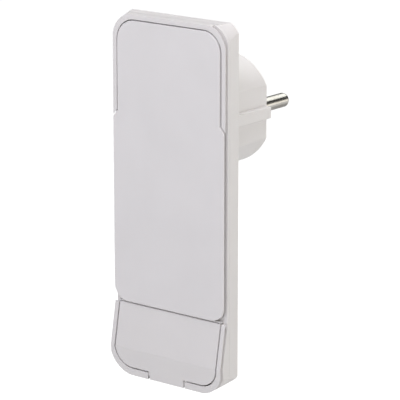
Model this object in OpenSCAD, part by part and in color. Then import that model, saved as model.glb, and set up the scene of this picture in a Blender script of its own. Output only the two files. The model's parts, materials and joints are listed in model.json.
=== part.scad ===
// Flat earthed mains plug: a thin front plate with a fold-out grip, a wedge-shaped cord cover
// at its lower end, and a round earthed plug body with two pins behind it.
// Millimetres. X is to the right, Y points into the wall, Z is up.
// The origin is the middle of the plug body's contact face, on the plug's axis.
// Depths are measured from the plane of the front rim, towards the wall.

/* [Front plate] */
// Width of the plate
plate_w = 46; // [45.5:0.5:50]
// Height of the plate's top edge above the plug axis
plate_top = 32.8; // [32.6:0.2:36]
// Distance of the plate's bottom front edge below the plug axis
plate_bottom = 88; // [87.5:0.5:92]
// Thickness of the plate, from the rim to its back
plate_t = 7; // [6.8:0.1:8]
// How much higher the top edge is at the back than at the rim
top_draft = 0.4; // [0.2:0.1:0.8]
// How much higher the bottom edge is at the back than at the front
bottom_rise = 4; // [3.5:0.1:4.2]
// Radius of the four corners of the front edge
corner_r = 8.75; // [8:0.25:9.5]
// Width of the raised rim
rim_w = 1.6; // [1.5:0.1:1.9]
// Height of the rim below the cord cover
rim_bottom = 2.4; // [2.2:0.1:2.8]
// Gap between the rim and the pieces inside it
seam = 0.45; // [0.4:0.05:0.6]

/* [Cord cover] */
// Distance of the cord cover's upper edge below the plug axis
cover_top = 63.8; // [63:0.2:65]
// Distance of the wedge's crest below the plug axis
crest_drop = 78.6; // [77:0.1:80]
// How far the crest stands in front of the rim plane
crest_out = 2.4; // [2:0.05:2.8]
// How far the bottom edge stands in front of the rim plane
chin_out = 1.4; // [1:0.05:1.8]
// Width of the tab over the cord outlet
tab_w = 14.4; // [12:0.2:16]

/* [Grip] */
// Distance of the grip's lower edge below the plug axis
grip_bottom = 63.15; // [62:0.05:63.2]
// Height at which the grip widens to the full width of the plate
shoulder_z = 1; // [0:0.5:3]
// How far the grip stands in front of the rim plane
grip_proud = 0.4; // [0.2:0.05:0.6]
// Height of the grip's hinge above the plug axis
hinge_z = 23.7; // [23.2:0.1:23.8]

/* [Plug body] */
// Diameter of the plug body
body_d = 37.2; // [36.5:0.1:37.5]
// Length of the plug body behind the plate
body_len = 23.7; // [22:0.1:26]
// Distance between the flats at the sides of the plug body
flat_w = 32.8; // [31:0.1:33]
// Distance between the outer faces of the guide ribs
rib_span = 36.4; // [35.6:0.1:36.6]
// Height of a guide rib
rib_h = 3.9; // [3.5:0.1:4.2]

/* [Contacts] */
// Diameter of the contact pins
pin_d = 4.8; // [4.8:0.1:4.8]
// Length of the contact pins in front of the contact face
pin_len = 19; // [18.5:0.5:19]
// Distance between the pins
pin_pitch = 19; // [19:1:19]
// Height of the earthing-pin socket above the plug axis
earth_z = 10; // [10:1:10]

/* [Hidden] */
$fn = 64;

white = "#f1f0ee";
cool_white = "#eeedf0";
inner_grey = "#c9c8c4";
nickel = "#b9b6ae";
brass = "#c9a04a";
steel = "#9a9ca0";
amber = "#c98f3c";

// Stack of depths behind the rim plane
front_y = -(plate_t + body_len);   // Y of the rim plane
strip_depth = 1.4;                 // front of the strips beside the grip
deck_front = 1.6;                  // floor of the recess behind the grip
parting = 2.5;                     // where the front frame meets the rear shell
deck_back = 2.6;
sheet_t = 0.3;
bus_front = 3.5;
bus_t = 0.8;
bus_back = bus_front + bus_t;      // front of the plug body's flange
back_inner = plate_t - 1;          // inner face of the rear wall

// Outlines
half_w = plate_w / 2;
inner_half = half_w - rim_w;
inner_top = plate_top - rim_w;
inner_bottom = -(plate_bottom - rim_bottom);
inner_r = corner_r - rim_w;
wall = 1.5;                        // side wall of the rear shell
cavity_bottom = -(plate_bottom - bottom_rise - wall - 0.1);
far = 80;                          // longer than anything it cuts

// Shadow groove behind the front edge
lip_t = 0.2;
groove_w = 1.2;
groove_in = 1;
groove_end_x = 17.5;               // the groove stops short of the top edge

// Grip
grip_skin = 1.1;
grip_back = grip_skin - grip_proud;      // depth of the grip's rear face
wide_half = half_w - 0.2;
tongue_half = inner_half - seam;
tongue_top = inner_top - 0.32;
shoulder_drop = 2.3;               // height of the slanted shoulders
shoulder_run = wide_half - tongue_half;
grip_corner_r = 5.5;
hinge_depth = 1.8;
hinge_pin_r = 0.65;
hinge_lug_r = 1.5;
hinge_ear_r = 1.25;
hinge_ear_w = 2;
lug_w = 2;
ear_x = [-15, 0, 15];

// Cord cover
wedge_start = 0.25;                // depth of the cover's front at its upper edge
cover_skin = 1.2;
cover_lip = 1.9;                   // depth of the cover's upper edge
cover_gap = 0.3;                   // clearance above the upper edge, where it swings
cover_half = inner_half - seam;
trunnion_depth = 1.15;
trunnion_z = -(cover_top + 1.8);
trunnion_r = 0.6;
trunnion_end = half_w - 0.95;

// Plug body
body_r = body_d / 2;
flat_half = flat_w / 2;
flange_r = 19.4;
earth_face_z = 16.7;               // outer face of an earthing strip
earth_strip_t = 0.8;
earth_strip_w = 8;
sleeve_in_r = 2.45;
sleeve_out_r = 3.1;
pin_r = pin_d / 2;
pin_root_r = 2;
stem_r = 1.6;
rivet_r = 2.8;
pin_recess_r = pin_r + 0.3;        // shallow ring round each pin in the contact face
rivet_depth = 3;                   // front of the riveted stem ends

// Wiring space
terminal_z = -72.5;
terminal_w = 5;
terminal_h = 6;
terminal_front = 1.3;
terminal_back = 5.3;
clamp_z = -79.5;
clamp_screw_x = 8.2;
outlet_w = 10.4;
outlet_front = 2.3;
outlet_back = 6.2;

// Screws that join the two housing halves
boss_x = 18.4;
boss_z = [18.6, -22, -60];
boss_split = 4;                    // depth where the bosses of both halves meet

// Depth and height of the front surface, from the top edge down
front_line = [
    [0, plate_top], [0, -cover_top], [wedge_start, -cover_top],
    [-crest_out, -crest_drop], [-chin_out, -plate_bottom]
];

// Heights of the top and bottom faces at a depth
function top_at(depth) = plate_top + top_draft * depth / plate_t;
function bottom_at(depth) = -plate_bottom + bottom_rise * (depth + chin_out) / (plate_t + chin_out);

// ---------- drawing helpers ----------

// Solid of an outline drawn in (x, z), between two depths
module slab(d0, d1)
    translate([0, front_y + d1, 0])
        rotate([90, 0, 0])
            linear_extrude(d1 - d0)
                children();

// Solid of a profile drawn in (depth, z), w wide and centred on x
module prism(w, x = 0)
    translate([x, front_y, 0])
        rotate([90, 0, 90])
            linear_extrude(w, center = true)
                children();

// Round rod along the depth
module rod(x, z, d0, d1, r)
    translate([x, front_y + d1, z])
        rotate([90, 0, 0])
            cylinder(h = d1 - d0, r = r);

// Round rod along x
module axle(d, z, x0, x1, r)
    translate([x0, front_y + d, z])
        rotate([0, 90, 0])
            cylinder(h = x1 - x0, r = r);

// Box between two depths, two heights and two widths
module box(x0, x1, d0, d1, z0, z1)
    translate([x0, front_y + d0, z0])
        cube([x1 - x0, d1 - d0, z1 - z0]);

// Outline with four round corners
module rounded(half, z0, z1, r) {
    translate([-half + r, z0])
        square([2 * (half - r), z1 - z0]);
    translate([-half, z0 + r])
        square([2 * half, z1 - z0 - 2 * r]);
    for (x = [-half + r, half - r], z = [z0 + r, z1 - r])
        translate([x, z])
            circle(r);
}

// Outline of the whole plate, drawn in by inset
module plate_outline(inset = 0)
    rounded(half_w - inset, -plate_bottom + inset, plate_top - inset, corner_r - inset);

// Band of the side profile between two distances behind the front surface
module front_band(d0, d1)
    polygon(concat(
        [for (p = front_line) [p.x + d0, p.y]],
        [for (i = [len(front_line) - 1:-1:0]) [front_line[i].x + d1, front_line[i].y]]
    ));

// Side profile from the front surface back to a fixed depth
module front_to(depth)
    polygon(concat(front_line, [[depth, bottom_at(depth)], [depth, top_at(depth)]]));

// Side profile between two depths behind the rim
module back_profile(d0, d1)
    polygon([[d0, top_at(d0)], [d1, top_at(d1)], [d1, bottom_at(d1)], [d0, bottom_at(d0)]]);

// Cutter that rounds one right-hand corner. Its axis leans outwards towards the back,
// by lean over the plate's thickness, so the corner is round in front and tighter behind.
module corner_cutter(z, depth, lean, up) {
    span = plate_t - depth;
    translate([half_w - corner_r + 0.02, front_y + depth, z])
        rotate(a = atan2(norm(lean), span), v = [lean.y, 0, -lean.x])
            rotate([-90, 0, 0])
                difference() {
                    translate([0, up ? -20 : 0, -5])
                        cube([20, 20, 20]);
                    translate([0, 0, -6])
                        cylinder(h = 22, r = corner_r);
                }
}

// Cuts all four corners of its children
module corners_cut()
    difference() {
        children();
        for (side = [0, 1])
            mirror([side, 0, 0]) {
                corner_cutter(plate_top - corner_r + 0.02, 0, [1.1, 1.5], true);
                corner_cutter(-plate_bottom + corner_r - 0.02, -crest_out, [2.2, 2.2], false);
            }
    }

// Upper end of the grip's wide part, with slanted shoulders, grown by grow
module shoulders(grow = 0) {
    up = grow * (norm([shoulder_run, shoulder_drop]) - shoulder_drop) / shoulder_run;
    for (side = [-1, 1])
        polygon([
            [side * (wide_half + grow), -40], [side * (wide_half + grow), shoulder_z - shoulder_drop + up],
            [side * (tongue_half + grow), shoulder_z + up], [0, shoulder_z + up], [0, -40]
        ]);
}

// Outline of the grip
module grip_outline() {
    rounded(tongue_half, -20, tongue_top, inner_r - seam);
    shoulders();
    rounded(wide_half, -grip_bottom, -20, grip_corner_r);
}

// Area of the front frame that is open at the sides of the grip's wide part
module side_windows() {
    shoulders(seam);
    translate([-far / 2, -cover_top])
        square([far, cover_top - 20]);
}

// Outline of the cord cover inside its rim, grown by grow, with a gap above it
module cover_outline(grow = 0, gap = 0)
    intersection() {
        rounded(cover_half + grow, inner_bottom + seam - grow, 0, inner_r - seam + grow);
        translate([-far / 2, -far - cover_top + gap])
            square(far);
    }

// Places its children at both housing screws of each row
module at_bosses()
    for (x = [-boss_x, boss_x], z = boss_z)
        translate([x, 0, z])
            children();

// ---------- housing ----------

module rear_shell() {
    boss_r = 3;
    head_hole_r = 2.05;
    shank_hole_r = 1.1;
    head_seat = 5.7;
    color(white)
        difference() {
            union() {
                difference() {
                    corners_cut()
                        prism(plate_w)
                            back_profile(parting, plate_t);
                    slab(0, back_inner)
                        rounded(half_w - wall, cavity_bottom, plate_top - wall, corner_r - wall);
                }
                // screw bosses, kept inside the walls
                intersection() {
                    slab(boss_split, plate_t)
                        plate_outline();
                    at_bosses()
                        rod(0, 0, boss_split, plate_t - 0.5, boss_r);
                }
                // ribs that carry the busbars
                for (z = [-29, -43, -57])
                    box(-13, 13, bus_back, back_inner, z - 0.5, z + 0.5);
                // bosses of the cord clamp
                for (x = [-clamp_screw_x, clamp_screw_x])
                    rod(x, clamp_z, parting, back_inner, 1.9);
                // teeth that bite into the cord
                for (z = [clamp_z + 1.5, clamp_z - 1.5])
                    box(-5, 5, back_inner - 0.4, back_inner, z - 0.3, z + 0.3);
            }
            rod(0, 0, bus_back, plate_t + 1, body_r + 0.05);
            at_bosses() {
                rod(0, 0, 0, plate_t, shank_hole_r);
                rod(0, 0, head_seat, plate_t + 1, head_hole_r);
            }
            for (x = [-clamp_screw_x, clamp_screw_x])
                rod(x, clamp_z, parting - 1, back_inner - 0.6, 0.85);
            // cord outlet
            box(-outlet_w / 2, outlet_w / 2, outlet_front, outlet_back,
                -far - cover_top, cavity_bottom + 1);
        }
}

module front_frame() {
    pocket_bottom = hinge_z - 3.1;
    ear_root = pocket_bottom - 1;
    color(white)
        difference() {
            union() {
                // outer shape back to the parting line
                corners_cut()
                    prism(plate_w)
                        front_to(parting);
                // deck behind the grip, reaching into the rear shell
                slab(deck_front, deck_back)
                    rounded(half_w - wall - 0.1, -cover_top + 0.3, plate_top - wall - 0.1, corner_r - wall);
                at_bosses()
                    rod(0, 0, deck_front, boss_split, 2.2);
            }
            // shadow groove behind the front edge
            intersection() {
                slab(-4, 4)
                    difference() {
                        plate_outline(-1);
                        plate_outline(groove_in);
                        side_windows();
                        translate([-groove_end_x, 20])
                            square([2 * groove_end_x, 20]);
                    }
                prism(far)
                    front_band(lip_t, lip_t + groove_w);
            }
            // recess of the grip
            slab(-3, deck_front)
                intersection() {
                    rounded(inner_half, -far, inner_top, inner_r);
                    translate([-far / 2, -cover_top])
                        square([far, 2 * far]);
                }
            slab(-3, strip_depth)
                side_windows();
            // pocket behind the end of the tongue, which swings in when the grip opens
            slab(0, 4)
                intersection() {
                    rounded(inner_half, -far, inner_top, inner_r);
                    translate([-far / 2, pocket_bottom])
                        square(far);
                }
            // relief above the path of the tongue's upper edge
            slab(grip_back + 0.05, 4)
                rounded(inner_half - 2, pocket_bottom, inner_top + 0.3, inner_r - 2);
            // pocket of the detent spring
            box(-3.6, 3.6, deck_front - 1, deck_front + 0.6, -61, -47);
            // opening of the cord cover and the gap for its tab
            slab(-4, 4) {
                cover_outline(seam, cover_gap);
                translate([-tab_w / 2 - seam, -far - cover_top])
                    square([tab_w + 2 * seam, far - 10]);
            }
            // trunnion bores
            axle(trunnion_depth, trunnion_z, -half_w + 0.85, half_w - 0.85, trunnion_r + 0.05);
            at_bosses()
                rod(0, 0, 2, 5, 1);
        }
    // low bar between the grip and the cord cover
    color(white)
        box(-inner_half, inner_half, 0.35, deck_front + 0.1, -cover_top + cover_gap, -grip_bottom - 0.05);
    // ears that carry the hinge pin
    color(white)
        for (x = ear_x)
            difference() {
                union() {
                    axle(hinge_depth, hinge_z, x - hinge_ear_w / 2, x + hinge_ear_w / 2, hinge_ear_r);
                    box(x - hinge_ear_w / 2, x + hinge_ear_w / 2,
                        hinge_depth, hinge_depth + hinge_ear_r, ear_root, hinge_z);
                    box(x - hinge_ear_w / 2, x + hinge_ear_w / 2,
                        deck_front, deck_back, ear_root - 1, hinge_z - 1);
                }
                axle(hinge_depth, hinge_z, x - far, x + far, hinge_pin_r + 0.02);
            }
}

module pull_handle() {
    undercut = 1.2;
    rib_back = 1.4;
    color(cool_white)
        difference() {
            union() {
                slab(-grip_proud, grip_back)
                    grip_outline();
                // stiffening ribs
                for (x = [-19, -7.6, 7.6, 19])
                    box(x - 0.5, x + 0.5, grip_back, rib_back, -56, 14);
                for (z = [-56, -42, -28, -14, 0, 14])
                    box(-19.5, 19.5, grip_back, rib_back, z - 0.5, z + 0.5);
                // raised edge behind the tongue, which closes the view past its edge
                slab(grip_back - 0.1, 1.1)
                    intersection() {
                        difference() {
                            grip_outline();
                            rounded(tongue_half - 0.8, -60, tongue_top - 0.8, inner_r - seam - 0.8);
                        }
                        translate([-far / 2, 14.5])
                            square(far);
                    }
                // nub that the detent spring holds
                axle(grip_back, -59, -2.5, 2.5, 0.6);
                // hinge lugs on both sides of each ear
                for (x = ear_x, side = [-1, 1]) {
                    lug_x = x + side * (hinge_ear_w / 2 + 0.15 + lug_w / 2);
                    axle(hinge_depth, hinge_z, lug_x - lug_w / 2, lug_x + lug_w / 2, hinge_lug_r);
                    box(lug_x - lug_w / 2, lug_x + lug_w / 2,
                        grip_back - 0.2, hinge_depth, hinge_z - hinge_lug_r, hinge_z + hinge_lug_r);
                }
            }
            // relief over the ears
            for (x = ear_x)
                box(x - hinge_ear_w / 2 - 0.15, x + hinge_ear_w / 2 + 0.15,
                    0.35, 5, hinge_z - 4, hinge_z + 2);
            axle(hinge_depth, hinge_z, -far, far, hinge_pin_r + 0.05);
            // finger grip: both side edges of the wide part are cut away from behind
            for (side = [-1, 1])
                prism_edge(side, undercut);
        }
}

// Wedge that undercuts one side edge of the grip's wide part
module prism_edge(side, undercut)
    translate([side * wide_half, front_y, -grip_bottom - 1])
        linear_extrude(grip_bottom + shoulder_z + 2)
            polygon([
                [side, -grip_proud + 0.35], [0, -grip_proud + 0.35],
                [-side * undercut, grip_back + 0.05], [side, grip_back + 0.05]
            ]);

module cable_cover() {
    lug_inner = cover_half - 1.4;
    color(white) {
        intersection() {
            union() {
                slab(-4, 4)
                    cover_outline();
                box(-tab_w / 2, tab_w / 2, -4, parting - 0.1, -plate_bottom, inner_bottom + 6);
            }
            prism(far)
                front_band(0, cover_skin);
            prism(far)
                front_to(parting);
        }
        // thick upper edge, which closes the view past the grip
        slab(wedge_start + 0.3, cover_lip)
            intersection() {
                cover_outline();
                translate([-far / 2, -cover_top - 0.9])
                    square(far);
            }
        // stiffening ribs across the wedge
        for (x = [-15, 15])
            intersection() {
                box(x - 0.5, x + 0.5, -3, 1.6, -82, -67.5);
                prism(far)
                    front_band(cover_skin, 3);
            }
        for (side = [-1, 1]) {
            // moulded trunnions on their lugs
            axle(trunnion_depth, trunnion_z,
                 side > 0 ? lug_inner : -trunnion_end,
                 side > 0 ? trunnion_end : -lug_inner, trunnion_r);
            box(side > 0 ? lug_inner : -cover_half, side > 0 ? cover_half : -lug_inner,
                0.6, 2, trunnion_z - 0.9, trunnion_z + 0.9);
        }
    }
}

// ---------- plug body and contacts ----------

module body_outline(r, flat)
    intersection() {
        circle(r);
        square([2 * flat, 2 * r + 1], center = true);
    }

module plug_body() {
    contact_face = plate_t + body_len;
    tower_r = 4.2;
    shell = 2;
    face_t = 3;
    color(white)
        difference() {
            union() {
                // flange inside the rear shell
                rod(0, 0, bus_back, back_inner, flange_r);
                // root inside the round hole of the rear shell
                rod(0, 0, bus_back, plate_t, body_r);
                slab(plate_t, contact_face)
                    body_outline(body_r, flat_half);
                // guide ribs
                intersection() {
                    box(-rib_span / 2, rib_span / 2, plate_t, contact_face, -rib_h / 2, rib_h / 2);
                    rod(0, 0, plate_t, contact_face, body_r);
                }
            }
            // hollow, with a tower round each contact
            difference() {
                slab(bus_back - 1, contact_face - face_t)
                    intersection() {
                        body_outline(body_r - shell, flat_half - shell);
                        square([far, 2 * (earth_face_z - 2.2)], center = true);
                    }
                for (x = [-pin_pitch / 2, pin_pitch / 2])
                    rod(x, 0, 0, far, tower_r);
                rod(0, earth_z, 0, far, tower_r);
            }
            // seats of the pins
            for (x = [-pin_pitch / 2, pin_pitch / 2]) {
                rod(x, 0, 12, far, pin_root_r + 0.02);
                rod(x, 0, 0, far, stem_r + 0.02);
                rod(x, 0, contact_face - 0.6, far, pin_recess_r);
            }
            // seat of the earthing sleeve and its mouth
            rod(0, earth_z, contact_face - 19, contact_face - 1, sleeve_out_r + 0.02);
            rod(0, earth_z, 0, contact_face - 2, stem_r + 0.02);
            rod(0, earth_z, contact_face - 2, far, sleeve_in_r + 0.1);
            // recesses of the earthing strips
            for (side = [-1, 1]) {
                z_floor = earth_face_z - earth_strip_t;
                z0 = side > 0 ? z_floor : -z_floor - earth_strip_t;
                box(-earth_strip_w / 2, earth_strip_w / 2, 0, far, z0, z0 + earth_strip_t);
                box(-earth_strip_w / 2 - 0.6, earth_strip_w / 2 + 0.6, plate_t + 1.5, far,
                    side > 0 ? earth_face_z : -earth_face_z - 4, side > 0 ? earth_face_z + 4 : -earth_face_z);
            }
        }
}

// Contact pin: domed tip, embedded root and a stem riveted to its busbar
module contact_pin(x) {
    contact_face = plate_t + body_len;
    tip = 1.4;
    color(nickel) {
        rod(x, 0, contact_face, contact_face + pin_len - tip, pin_r);
        rod(x, 0, 12, contact_face + 0.1, pin_root_r);
        rod(x, 0, rivet_depth, 12.1, stem_r);
        rod(x, 0, rivet_depth, bus_front, rivet_r);
        translate([x, pin_len, 0])
            rotate([90, 0, 0])
                rotate_extrude()
                    pin_tip_profile(tip);
    }
}

// Half profile of a pin's domed tip: a flat end, a quarter-round shoulder
module pin_tip_profile(tip)
    union() {
        square([pin_r - tip, tip]);
        intersection() {
            translate([pin_r - tip, tip])
                circle(tip);
            square([pin_r, tip]);
        }
    }

module line_pin() contact_pin(pin_pitch / 2);

module neutral_pin() contact_pin(-pin_pitch / 2);

// Earthing strip in one recess of the plug body; side is 1 on top and -1 below
module earth_contact(side) {
    contact_face = plate_t + body_len;
    z_in = earth_face_z - earth_strip_t;
    color(nickel)
        intersection() {
            box(-earth_strip_w / 2 + 0.05, earth_strip_w / 2 - 0.05, bus_front, contact_face - 1,
                side > 0 ? z_in + 0.03 : -earth_face_z, side > 0 ? earth_face_z : -z_in - 0.03);
            rod(0, 0, 0, far, body_r - 0.3);
        }
}

module top_earth_contact() earth_contact(1);

module bottom_earth_contact() earth_contact(-1);

module earth_strap() {
    end_z = earth_face_z - earth_strip_t;
    color(brass)
        difference() {
            union() {
                box(-2.5, 2.5, bus_front, bus_back, -end_z, end_z);
                rod(0, earth_z, bus_front, bus_back, 3.4);
            }
            rod(0, earth_z, 0, far, stem_r + 0.02);
        }
}

module earth_sleeve() {
    contact_face = plate_t + body_len;
    mouth = contact_face - 1.05;
    bottom = contact_face - 19;
    color(nickel)
        difference() {
            union() {
                rod(0, earth_z, bottom, mouth, sleeve_out_r);
                rod(0, earth_z, rivet_depth, bottom + 0.5, stem_r);
                rod(0, earth_z, rivet_depth, bus_front, rivet_r);
            }
            rod(0, earth_z, bottom + 1.2, far, sleeve_in_r);
        }
}

// Flat conductor from a pin down to its terminal
module pin_busbar(x)
    color(brass)
        difference() {
            union() {
                rod(x, 0, bus_front, bus_back, 3.4);
                box(x - 2, x + 2, bus_front, bus_back, terminal_z + terminal_h / 2, 0);
            }
            rod(x, 0, 0, far, stem_r + 0.02);
        }

module line_busbar() pin_busbar(pin_pitch / 2);

module neutral_busbar() pin_busbar(-pin_pitch / 2);

module earth_busbar() {
    strap_end = earth_face_z;
    color(brass)
        box(-2, 2, bus_front, bus_back, terminal_z + terminal_h / 2, -strap_end);
}

// ---------- wiring space ----------

// Brass wire clamp: wire hole from below, screw hole from the front
module terminal(x)
    color(brass)
        difference() {
            box(x - terminal_w / 2, x + terminal_w / 2, terminal_front, terminal_back,
                terminal_z - terminal_h / 2, terminal_z + terminal_h / 2);
            translate([x, front_y + 3.9, terminal_z - terminal_h])
                cylinder(h = terminal_h + 2, r = 1.15);
            rod(x, terminal_z - 0.4, 0, 3.9, 1.15);
        }

module line_terminal() terminal(pin_pitch / 2);

module neutral_terminal() terminal(-pin_pitch / 2);

module earth_terminal() terminal(0);

module terminal_screws()
    color(nickel)
        for (x = [-pin_pitch / 2, 0, pin_pitch / 2])
            difference() {
                rod(x, terminal_z - 0.4, terminal_front, 3, 1.1);
                box(x - 1.2, x + 1.2, terminal_front - 1, terminal_front + 0.5,
                    terminal_z - 0.6, terminal_z - 0.2);
            }

module terminal_carrier() {
    half = 14.5;
    color(inner_grey) {
        box(-half, half, terminal_back, back_inner, terminal_z - 4, terminal_z + 4);
        for (x = [-half + 0.5, -pin_pitch / 4, pin_pitch / 4, half - 0.5])
            box(x - 0.5, x + 0.5, terminal_front + 0.4, terminal_back, terminal_z - 4, terminal_z + 4);
    }
}

module insulating_sheet()
    color(amber)
        slab(deck_back + 0.05, deck_back + 0.05 + sheet_t)
            translate([-14.5, -cover_top + 0.8])
                square([29, cover_top + 18.4]);

module cord_clamp()
    color(inner_grey)
        difference() {
            union() {
                box(-10.6, 10.6, 0.5, parting, clamp_z - 1.9, clamp_z + 1.9);
                // pad that presses on the cord
                box(-5, 5, parting, parting + 0.4, clamp_z - 0.4, clamp_z + 0.4);
            }
            for (x = [-clamp_screw_x, clamp_screw_x]) {
                rod(x, clamp_z, 0, 3, 0.95);
                rod(x, clamp_z, -1, 1.3, 1.6);
            }
        }

module cord_clamp_screws()
    color(nickel)
        for (x = [-clamp_screw_x, clamp_screw_x])
            difference() {
                union() {
                    rod(x, clamp_z, 0.55, 1.3, 1.5);
                    rod(x, clamp_z, 1.2, back_inner - 0.8, 0.8);
                }
                box(x - 2, x + 2, 0, 0.95, clamp_z - 0.2, clamp_z + 0.2);
            }

// ---------- hinge, detent and housing screws ----------

module handle_hinge_pin() {
    end_x = ear_x[2] + hinge_ear_w / 2 + lug_w + 0.6;
    color(steel)
        axle(hinge_depth, hinge_z, -end_x, end_x, hinge_pin_r);
}

module handle_detent_spring() {
    t = 0.2;
    floor = deck_front + 0.6;
    color(steel)
        prism(6)
            polygon([
                [floor, -60.6], [floor, -58], [1.7, -54], [floor, -50], [floor, -47.4],
                [floor - t, -47.4], [floor - t, -50], [1.7 - t, -54], [floor - t, -58], [floor - t, -60.6]
            ]);
}

module housing_screws()
    color(steel)
        at_bosses()
            difference() {
                union() {
                    rod(0, 0, 5.75, plate_t - 0.2, 1.9);
                    rod(0, 0, 2.05, 5.8, 0.95);
                }
                for (turn = [0, 90])
                    translate([0, front_y + plate_t, 0])
                        rotate([0, turn, 0])
                            cube([2.2, 1.4, 0.4], center = true);
            }

rear_shell();
front_frame();
pull_handle();
cable_cover();
plug_body();
line_pin();
neutral_pin();
top_earth_contact();
bottom_earth_contact();
earth_strap();
earth_sleeve();
line_busbar();
neutral_busbar();
earth_busbar();
line_terminal();
neutral_terminal();
earth_terminal();
terminal_screws();
terminal_carrier();
insulating_sheet();
cord_clamp();
cord_clamp_screws();
handle_hinge_pin();
handle_detent_spring();
housing_screws();
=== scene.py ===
import json
import math

import bmesh
import bpy
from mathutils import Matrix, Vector


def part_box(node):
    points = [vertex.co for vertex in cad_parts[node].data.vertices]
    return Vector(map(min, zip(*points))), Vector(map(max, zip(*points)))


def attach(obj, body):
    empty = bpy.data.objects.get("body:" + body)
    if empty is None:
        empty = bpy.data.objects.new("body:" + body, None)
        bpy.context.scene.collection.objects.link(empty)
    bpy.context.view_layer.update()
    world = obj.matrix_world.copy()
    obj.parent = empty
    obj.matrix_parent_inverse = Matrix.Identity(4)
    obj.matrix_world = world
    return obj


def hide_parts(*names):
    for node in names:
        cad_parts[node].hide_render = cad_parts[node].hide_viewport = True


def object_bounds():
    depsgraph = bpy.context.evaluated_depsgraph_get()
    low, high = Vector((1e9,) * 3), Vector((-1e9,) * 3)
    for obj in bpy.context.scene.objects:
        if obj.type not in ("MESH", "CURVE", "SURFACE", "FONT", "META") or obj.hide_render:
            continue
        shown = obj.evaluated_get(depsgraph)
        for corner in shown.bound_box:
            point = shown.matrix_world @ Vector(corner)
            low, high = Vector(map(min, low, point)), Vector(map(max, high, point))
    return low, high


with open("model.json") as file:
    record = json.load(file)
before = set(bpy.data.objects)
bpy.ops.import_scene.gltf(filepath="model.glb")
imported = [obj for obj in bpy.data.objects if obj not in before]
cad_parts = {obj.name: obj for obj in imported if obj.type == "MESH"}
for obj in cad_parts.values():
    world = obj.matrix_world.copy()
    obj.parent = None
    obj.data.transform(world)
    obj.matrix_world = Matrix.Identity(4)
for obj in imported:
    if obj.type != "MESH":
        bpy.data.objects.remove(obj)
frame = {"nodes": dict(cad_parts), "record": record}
CAD_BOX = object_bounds()
MM = 0.001
NODES = frame["nodes"]
SLOTS = {s["node"]: s["material_slot"] for s in frame["record"]["subparts"]}
SHARP = 28              # degrees; edges with less between their faces belong to a curve
MERGE = 1e-6            # metres between vertices that are one
FLAT_ANGLE = 0.3        # degrees between faces that are one plane
CREASE_SEGMENTS = 5


# ---------- material helpers ----------

WHITE = (0.80, 0.783, 0.781)
GRIP_WHITE = (0.80, 0.785, 0.79)
GREY = (0.42, 0.42, 0.41)
NICKEL = (0.41, 0.4, 0.382)
STEEL = (0.56, 0.56, 0.57)
BRASS = (0.74, 0.55, 0.24)
SPRING = (0.47, 0.47, 0.48)
AMBER_DARK, AMBER_LIGHT = (0.42, 0.23, 0.07), (0.55, 0.33, 0.12)
RUBBED = (0.88, 0.86, 0.83)     # tarnish on turned metal, for each colour channel
STAINED = (0.85, 0.82, 0.78)    # the same on rolled metal
CLOUDED = (0.972, 0.972, 0.972)
DIFFUSION = (0.0012, 0.0011, 0.001)


def times(color, factors):
    return tuple(c * f for c, f in zip(color, factors))


class Shader:
    """A Principled material with small helpers for its procedural texture nodes."""

    def __init__(self, name, roughness=0.5, metallic=0.0, ior=1.46):
        self.material = bpy.data.materials.new(name)
        self.material.use_nodes = True
        self.tree = self.material.node_tree
        self.bsdf = self.tree.nodes["Principled BSDF"]
        self.set("Roughness", roughness)
        self.set("Metallic", metallic)
        self.set("IOR", ior)
        self.coords = self.tree.nodes.new("ShaderNodeTexCoord")

    def set(self, socket, value):
        self.bsdf.inputs[socket].default_value = value

    def link(self, out, into):
        self.tree.links.new(out, into)

    def drive(self, socket, out):
        """Feeds a texture's output into a socket of the material."""
        self.link(out, self.bsdf.inputs[socket])

    def scaled(self, scale):
        """Object coordinates in metres, stretched by a scale for each axis."""
        node = self.tree.nodes.new("ShaderNodeMapping")
        node.inputs["Scale"].default_value = scale
        self.link(self.coords.outputs["Object"], node.inputs["Vector"])
        return node.outputs["Vector"]

    def noise(self, scale, detail=3.0, rough=0.5, stretch=(1, 1, 1)):
        node = self.tree.nodes.new("ShaderNodeTexNoise")
        node.inputs["Scale"].default_value = scale
        node.inputs["Detail"].default_value = detail
        node.inputs["Roughness"].default_value = rough
        self.link(self.scaled(stretch), node.inputs["Vector"])
        return node.outputs["Fac"]

    def remap(self, value, low, high, start=0.3, end=0.7):
        """Low up to start, high from end, and straight in between."""
        node = self.tree.nodes.new("ShaderNodeMapRange")
        node.inputs["From Min"].default_value = start
        node.inputs["From Max"].default_value = end
        node.inputs["To Min"].default_value = low
        node.inputs["To Max"].default_value = high
        self.link(value, node.inputs["Value"])
        return node.outputs["Result"]

    def blend_colors(self, factor, first, second):
        node = self.tree.nodes.new("ShaderNodeMix")
        node.data_type = "RGBA"
        node.inputs[6].default_value = (*first, 1)
        node.inputs[7].default_value = (*second, 1)
        self.link(factor, node.inputs["Factor"])
        return node.outputs[2]

    def bump(self, height, strength, distance, under=None):
        node = self.tree.nodes.new("ShaderNodeBump")
        node.inputs["Strength"].default_value = strength
        node.inputs["Distance"].default_value = distance
        self.link(height, node.inputs["Height"])
        if under is not None:
            self.link(under, node.inputs["Normal"])
        return node.outputs["Normal"]


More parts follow.
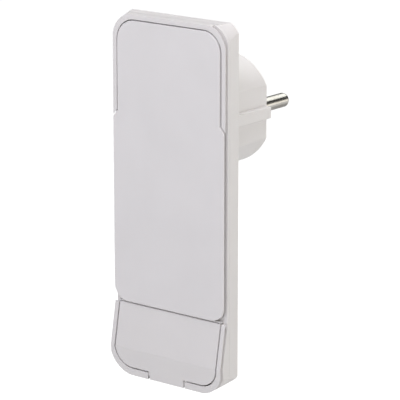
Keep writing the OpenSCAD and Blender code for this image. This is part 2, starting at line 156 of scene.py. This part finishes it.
def moulded_plastic(name, color, roughness=0.42, grain=0.09):
    """Satin moulded plastic: fine spark-eroded grain, soft clouds in colour and gloss."""
    shader = Shader(name, roughness)
    clouds = shader.remap(shader.noise(70, 3), 0, 1)
    shader.drive("Base Color", shader.blend_colors(clouds, times(color, CLOUDED), color))
    gloss = shader.noise(260, 2)
    shader.drive("Roughness", shader.remap(gloss, roughness - 0.05, roughness + 0.07))
    flow = shader.bump(shader.noise(28, 2), 0.05, 0.0004)
    shader.drive("Normal", shader.bump(shader.noise(5200, 2, 0.6), grain, 0.00002, flow))
    shader.set("Subsurface Weight", 0.08)
    shader.set("Subsurface Radius", DIFFUSION)
    shader.set("Subsurface Scale", 1.0)
    return shader.material


def turned_metal(name, color, roughness, lines):
    """Plated metal turned on a lathe: fine rings along Y and slight tarnish."""
    shader = Shader(name, roughness, 1.0)
    tarnish = shader.remap(shader.noise(180, 4), 0, 1)
    shader.drive("Base Color", shader.blend_colors(tarnish, times(color, RUBBED), color))
    rings = shader.noise(lines, 2, 0.5, (0.02, 1, 0.02))
    shader.drive("Roughness", shader.remap(rings, roughness - 0.03, roughness + 0.05))
    shader.drive("Normal", shader.bump(rings, 0.08, 0.00001))
    return shader.material


def rolled_metal(name, color, roughness):
    """Stamped sheet metal with a faint rolling grain along Z."""
    shader = Shader(name, roughness, 1.0)
    stain = shader.remap(shader.noise(140, 4), 0, 1)
    shader.drive("Base Color", shader.blend_colors(stain, times(color, STAINED), color))
    grain = shader.noise(2400, 2, 0.5, (1, 1, 0.04))
    shader.drive("Roughness", shader.remap(grain, roughness - 0.06, roughness + 0.1))
    shader.drive("Normal", shader.bump(grain, 0.2, 0.00001))
    return shader.material


def insulating_film(name):
    """Amber insulating sheet, slightly glossy and uneven."""
    shader = Shader(name, 0.3)
    cloud = shader.noise(90, 3)
    shader.drive("Base Color", shader.blend_colors(shader.remap(cloud, 0, 1), AMBER_DARK, AMBER_LIGHT))
    shader.drive("Roughness", shader.remap(cloud, 0.22, 0.4))
    shader.drive("Normal", shader.bump(shader.noise(600, 2), 0.1, 0.00003))
    return shader.material


def make_materials():
    return {
        "white_plastic": moulded_plastic("white_plastic", WHITE),
        "grip_plastic": moulded_plastic("grip_plastic", GRIP_WHITE),
        "grey_plastic": moulded_plastic("grey_plastic", GREY, 0.5),
        "nickel": turned_metal("nickel", NICKEL, 0.24, 5200),
        "plated_steel": turned_metal("plated_steel", STEEL, 0.34, 3600),
        "brass": rolled_metal("brass", BRASS, 0.3),
        "spring_steel": rolled_metal("spring_steel", SPRING, 0.28),
        "amber_sheet": insulating_film("amber_sheet"),
    }


# ---------- pieces ----------

def new_object(name, mesh):
    piece = bpy.data.objects.new(name, mesh)
    bpy.context.scene.collection.objects.link(piece)
    return piece


def edge_facts(edge):
    """The middle of an edge in mm, the angle between its faces and their normals."""
    middle = (edge.verts[0].co + edge.verts[1].co) / 2 / MM
    return middle, math.degrees(edge.calc_face_angle(0.0)), [f.normal for f in edge.link_faces]


def round_creases(work, creases, width):
    """Rounds the shallow folds between large planes before the sharper edges are treated."""
    if creases:
        bmesh.ops.bevel(work, geom=creases, offset=width * MM, offset_type="OFFSET",
                        segments=CREASE_SEGMENTS, profile=0.5, affect="EDGES", clamp_overlap=True)


def between_two_faces(work):
    return [edge for edge in work.edges if len(edge.link_faces) == 2]


def weigh_edges(work, radius):
    """Writes each edge's share of the widest bevel and gives that bevel's width in mm."""
    weight = work.edges.layers.float.new("bevel_weight_edge")
    for face in work.faces:
        face.smooth = True
    widest = 0.0
    for edge in between_two_faces(work):
        middle, angle, normals = edge_facts(edge)
        edge[weight] = radius(middle, angle, normals)
        edge.smooth = edge[weight] > 0 or angle < SHARP
        widest = max(widest, edge[weight])
    for edge in work.edges:
        edge[weight] /= widest
    return widest


def softened(node, body, radius, segments=3, crease=None, crease_width=0.0):
    """Replaces a node with a copy that has moulded edges.

    radius(middle, angle, normals) gives an edge's bevel in mm from its middle in mm,
    the angle between its faces in degrees and the faces' normals; 0 leaves it as it is.
    """
    mesh = NODES[node].data.copy()
    mesh.name = node + "_shape"
    work = bmesh.new()
    work.from_mesh(mesh)
    bmesh.ops.remove_doubles(work, verts=work.verts, dist=MERGE)
    bmesh.ops.dissolve_limit(work, angle_limit=math.radians(FLAT_ANGLE),
                             verts=work.verts, edges=work.edges)
    if crease:
        folds = [edge for edge in between_two_faces(work) if crease(*edge_facts(edge))]
        round_creases(work, folds, crease_width)
    widest = weigh_edges(work, radius)
    work.to_mesh(mesh)
    work.free()
    piece = new_object(node + "_soft", mesh)
    bevel = piece.modifiers.new("edges", "BEVEL")
    bevel.limit_method = "WEIGHT"
    bevel.width = widest * MM
    bevel.segments = segments
    bevel.use_clamp_overlap = False
    normals = piece.modifiers.new("normals", "WEIGHTED_NORMAL")
    normals.keep_sharp = True
    slot = SLOTS[node]
    mesh.materials.clear()
    mesh.materials.append(MATERIALS[slot])
    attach(piece, body)
    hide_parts(node)


def dress_nodes():
    """Gives each CAD node its procedural material."""
    for name, node in NODES.items():
        node.data.materials.clear()
        node.data.materials.append(MATERIALS[SLOTS[name]])


# ---------- camera and studio ----------

CAMERA_PLACE = (0.4773, -0.61893, 0.17036)  # metres
CAMERA_REACH = (0.05, 60)                   # metres
CAMERA_DOWN, CAMERA_TURN = 14.532, 38.290   # degrees below level and about Z
CAMERA_LENS, CAMERA_SENSOR = 218.98, 36     # mm
LIGHT_TARGET = (0, 0, -0.03)
FLOOR_HALF, FLOOR_DROP = 12, 0.35           # metres
# painted light and shade on the floor: it glows faintly near the part and fully far out, and its colour
# is darker near the part
DIM_WITHIN, LIT_BEYOND = 0.75, 0.95         # metres from the part, across the floor
NEAR_GLOW, FAR_GLOW = 0.12, 0.94
NEAR_FLOOR_SHADE, FAR_FLOOR = (0.75, 0.75, 0.75), (0.9, 0.9, 0.9)
AMBIENT = 0.1
# name, place in metres, size in metres, watts, colour
SOFTBOXES = (
    ("front_top", (0.05, -0.75, 0.65), (0.9, 0.6), 5.05, (0.948, 0.93, 1)),
    ("top", (0.15, 0.0, 0.95), (0.8, 0.8), 3.9, (1, 0.98, 0.995)),
    ("back_top", (-0.1, 0.72, 0.7), (0.9, 0.5), 3.85, (0.985, 1, 0.965)),
    ("right_back", (0.75, 0.75, 0.0), (0.55, 0.28), 0.95, (1, 0.965, 0.88)),
    ("right", (0.95, -0.1, 0.42), (0.6, 0.7), 1.7, (1, 0.935, 0.81)),
)


def look(obj, target):
    direction = Vector(target) - obj.location
    obj.rotation_euler = direction.to_track_quat("-Z", "Y").to_euler()


def camera():
    data = bpy.data.cameras.new("camera")
    data.sensor_width = CAMERA_SENSOR
    data.lens = CAMERA_LENS
    data.clip_start, data.clip_end = CAMERA_REACH
    cam = bpy.data.objects.new("camera", data)
    cam.location = CAMERA_PLACE
    cam.rotation_euler = (math.radians(90 - CAMERA_DOWN), 0, math.radians(CAMERA_TURN))
    bpy.context.scene.collection.objects.link(cam)
    bpy.context.scene.camera = cam


def softbox(name, location, size, power, color):
    data = bpy.data.lights.new(name, "AREA")
    data.shape = "RECTANGLE"
    data.size, data.size_y = size
    data.energy = power
    data.color = color
    lamp = bpy.data.objects.new(name, data)
    lamp.location = location
    look(lamp, LIGHT_TARGET)
    bpy.context.scene.collection.objects.link(lamp)


def make_floor(name):
    """A matt pale floor with painted light: it glows like a lit backdrop far out and only a little
    below the part, and its colour is darker below the part as painted shade.
    """
    level = CAD_BOX[0][2] - FLOOR_DROP
    corners = [(x * FLOOR_HALF, y * FLOOR_HALF, level) for x, y in ((-1, -1), (1, -1), (1, 1), (-1, 1))]
    mesh = bpy.data.meshes.new(name)
    mesh.from_pydata(corners, [], [(0, 1, 2, 3)])
    floor = new_object(name, mesh)
    shader = Shader(name, 0.9)
    distance = shader.tree.nodes.new("ShaderNodeVectorMath")
    distance.operation = "LENGTH"
    shader.link(shader.scaled((1, 1, 0)), distance.inputs[0])
    # painted light: share of the floor's glow and brighter colour, 0 near the part and 1 far out; the
    # darker colour near the part is painted shade
    painted_light_share = shader.remap(distance.outputs["Value"], 0, 1, DIM_WITHIN, LIT_BEYOND)
    shader.drive("Base Color", shader.blend_colors(painted_light_share, NEAR_FLOOR_SHADE, FAR_FLOOR))
    shader.drive("Emission Strength", shader.remap(painted_light_share, NEAR_GLOW, FAR_GLOW, 0, 1))
    shader.set("Emission Color", (1, 1, 1, 1))
    mesh.materials.append(shader.material)


def studio():
    world = bpy.data.worlds.new("studio")
    world.use_nodes = True
    back = world.node_tree.nodes["Background"]
    back.inputs["Color"].default_value = (1, 1, 1, 1)
    back.inputs["Strength"].default_value = AMBIENT
    bpy.context.scene.world = world
    make_floor("floor")
    for name, place, size, watts, color in SOFTBOXES:
        softbox(name, place, size, watts, color)


MATERIALS = make_materials()
dress_nodes()
camera()
studio()


# ---------- edge rules: bevels in mm, places in mm ----------

SHELL_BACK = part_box("rear_shell")[1][1] / MM
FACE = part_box("plug_body")[1][1] / MM
NEAR = 0.3              # an edge this close to an end face belongs to its rim
ROOT_NEAR = 0.05
PART_EDGE = 0.1
SMALL_EDGE = 0.08
BODY_EDGE = 0.12
CREASE_WIDTH = 0.6
CREASE_MIN = 4          # degrees
FORWARD = 0.9           # share of a normal that looks forward or up
TONGUE_END_Z = 20
SHELL_SIDE_X, SHELL_HIGH_Z, SHELL_LOW_Z = 22, 31, -82
BODY_SHARP = 20         # degrees
ROOT_REACH, OUTER_REACH = 18, 16
RIB_HALF = 2.2


def frame_edges(middle, angle, normals):
    return PART_EDGE if angle > SHARP else 0


def grip_edges(middle, angle, normals):
    """Softest at the tongue's upper end, nearly sharp behind the front face."""
    if angle < SHARP:
        return 0
    if max(-n.y for n in normals) < 0.99:
        return 0.05
    return 0.5 if middle.z > TONGUE_END_Z else 0.33


def is_crease(middle, angle, normals):
    """A shallow fold between two faces that both look forward."""
    return angle > CREASE_MIN and min(-n.y for n in normals) > FORWARD


def cover_edges(middle, angle, normals):
    """The front edges, softest along the top."""
    if angle < SHARP:
        return 0
    if max(-n.y for n in normals) < FORWARD:
        return 0.06
    return 0.35 if max(n.z for n in normals) > FORWARD else 0.16


def small_edges(middle, angle, normals):
    return SMALL_EDGE if angle > SHARP else 0


def shell_edges(middle, angle, normals):
    """Soft round the outline of the back."""
    if angle < SHARP:
        return 0
    outer = abs(middle.x) > SHELL_SIDE_X or middle.z > SHELL_HIGH_Z or middle.z < SHELL_LOW_Z
    if outer and middle.y > SHELL_BACK - NEAR:
        return 0.45
    return SMALL_EDGE


def body_edges(middle, angle, normals):
    """Softest round the contact face and along the guide ribs; the root's rim stays as it is."""
    out = math.hypot(middle.x, middle.z)
    root = middle.y < SHELL_BACK + ROOT_NEAR
    if angle < BODY_SHARP or (root and out > ROOT_REACH):
        return 0
    if root:
        return BODY_EDGE
    if abs(middle.x) > OUTER_REACH and abs(middle.z) < RIB_HALF:
        return 0.35
    if out > OUTER_REACH:
        return 0.4 if middle.y > FACE - NEAR else 0.22
    return BODY_EDGE


softened("front_frame", "housing", frame_edges, crease=is_crease, crease_width=CREASE_WIDTH)
softened("pull_handle", "grip", grip_edges)
softened("cable_cover", "cover", cover_edges, crease=is_crease, crease_width=CREASE_WIDTH)
softened("rear_shell", "housing", shell_edges)
softened("plug_body", "housing", body_edges)
for small in ("top_earth_contact", "bottom_earth_contact", "cord_clamp", "terminal_carrier",
              "line_terminal", "neutral_terminal", "earth_terminal",
              "line_busbar", "neutral_busbar", "earth_busbar"):
    softened(small, "housing", small_edges, segments=2)

bpy.context.scene.view_settings.view_transform = "Standard"
